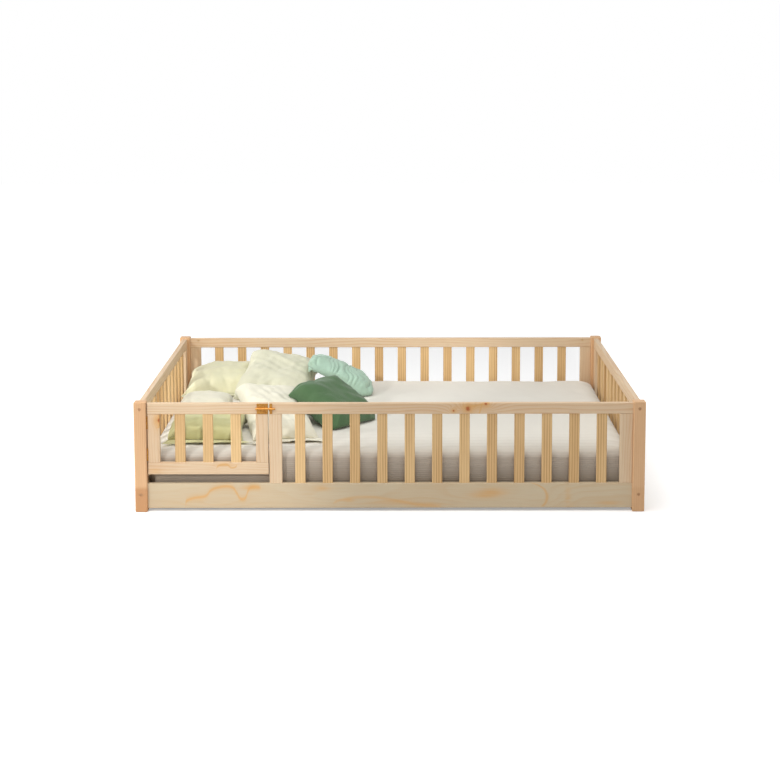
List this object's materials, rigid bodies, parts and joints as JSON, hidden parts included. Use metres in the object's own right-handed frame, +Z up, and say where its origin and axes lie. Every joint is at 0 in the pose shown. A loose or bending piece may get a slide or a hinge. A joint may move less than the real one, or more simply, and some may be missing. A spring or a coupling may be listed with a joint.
{
  "type": "toddler floor bed",
  "caption": "Low wooden floor bed for a toddler, fenced with spindles on all sides, with a hinged gate, a slat base, a mattress and pillows.",
  "frame": {"origin": "on the floor under the middle of the bed", "axes": "+Z up; the side with the gate faces -Y; +X runs along the bed away from the gate's hinges"},
  "size_m": [2, 1.45, 0.44],
  "materials": {
    "pine": "clear satin lacquer over light pine",
    "spindle_pine": "clear satin lacquer over golden pine",
    "post_pine": "clear satin lacquer over golden pine",
    "beech": "bare fluted dowel stock",
    "brass": "antique satin",
    "dark_steel": "black phosphate",
    "zinc_steel": "zinc plated",
    "foot_plastic": "matt",
    "mattress_cover": "ribbed knit",
    "cream_cotton": "woven cotton",
    "sage_cotton": "woven cotton",
    "lime_cotton": "woven cotton",
    "mint_cotton": "crinkled cotton",
    "green_cotton": "woven cotton"
  },
  "bodies": {
    "frame": {"barrel_nuts": "zinc_steel", "beam_brackets": "zinc_steel", "beam_feet": "foot_plastic", "bed_slats": "pine", "board_back": "pine", "board_front": "pine", "board_left": "pine", "board_right": "pine", "bolts_crosswise": "dark_steel", "bolts_lengthwise": "dark_steel", "bracket_screws": "zinc_steel", "centre_beam": "pine", "cushion_green": "green_cotton", "cushion_mint": "mint_cotton", "gate_jamb": "pine", "hinge_pins": "brass", "hinge_post_leaves": "brass", "hinge_post_screws": "brass", "latch_keeper": "brass", "latch_keeper_screws": "brass", "ledger_back": "pine", "ledger_front": "pine", "ledger_screws": "zinc_steel", "locating_dowels": "beech", "mattress": "mattress_cover", "pillow_cream_back": "cream_cotton", "pillow_cream_front": "cream_cotton", "pillow_cream_left": "cream_cotton", "pillow_lime": "lime_cotton", "pillow_sage": "sage_cotton", "post_back_left": "post_pine", "post_back_right": "post_pine", "post_front_left": "post_pine", "post_front_right": "post_pine", "slat_screws": "zinc_steel", "spindles_back": "spindle_pine", "spindles_front": "spindle_pine", "spindles_left": "spindle_pine", "spindles_right": "spindle_pine", "stile_front_right": "pine", "stiles_back": "pine", "stiles_left": "pine", "stiles_right": "pine", "top_rail_back": "pine", "top_rail_front": "pine", "top_rail_left": "pine", "top_rail_right": "pine"},
    "gate": {"gate_top_rail": "pine", "gate_bottom_rail": "pine", "gate_hinge_stile": "pine", "gate_latch_stile": "pine", "gate_spindles": "spindle_pine", "hinge_gate_leaves": "brass", "hinge_gate_screws": "brass", "latch_plate": "brass", "latch_plate_screws": "brass"},
    "latch_rod": {"latch_rod": "brass"}
  },
  "joints": [
    {"name": "gate_hinge", "type": "hinge", "parent": "frame", "child": "gate", "pos_m": [-0.9492, -0.7151, 0.29], "axis": [0, 0, -1], "range_deg": [0, 110]},
    {"name": "latch_slide", "type": "slide", "parent": "gate", "child": "latch_rod", "axis": [1, 0, 0], "range_m": [-0.023, 0]}
  ]
}
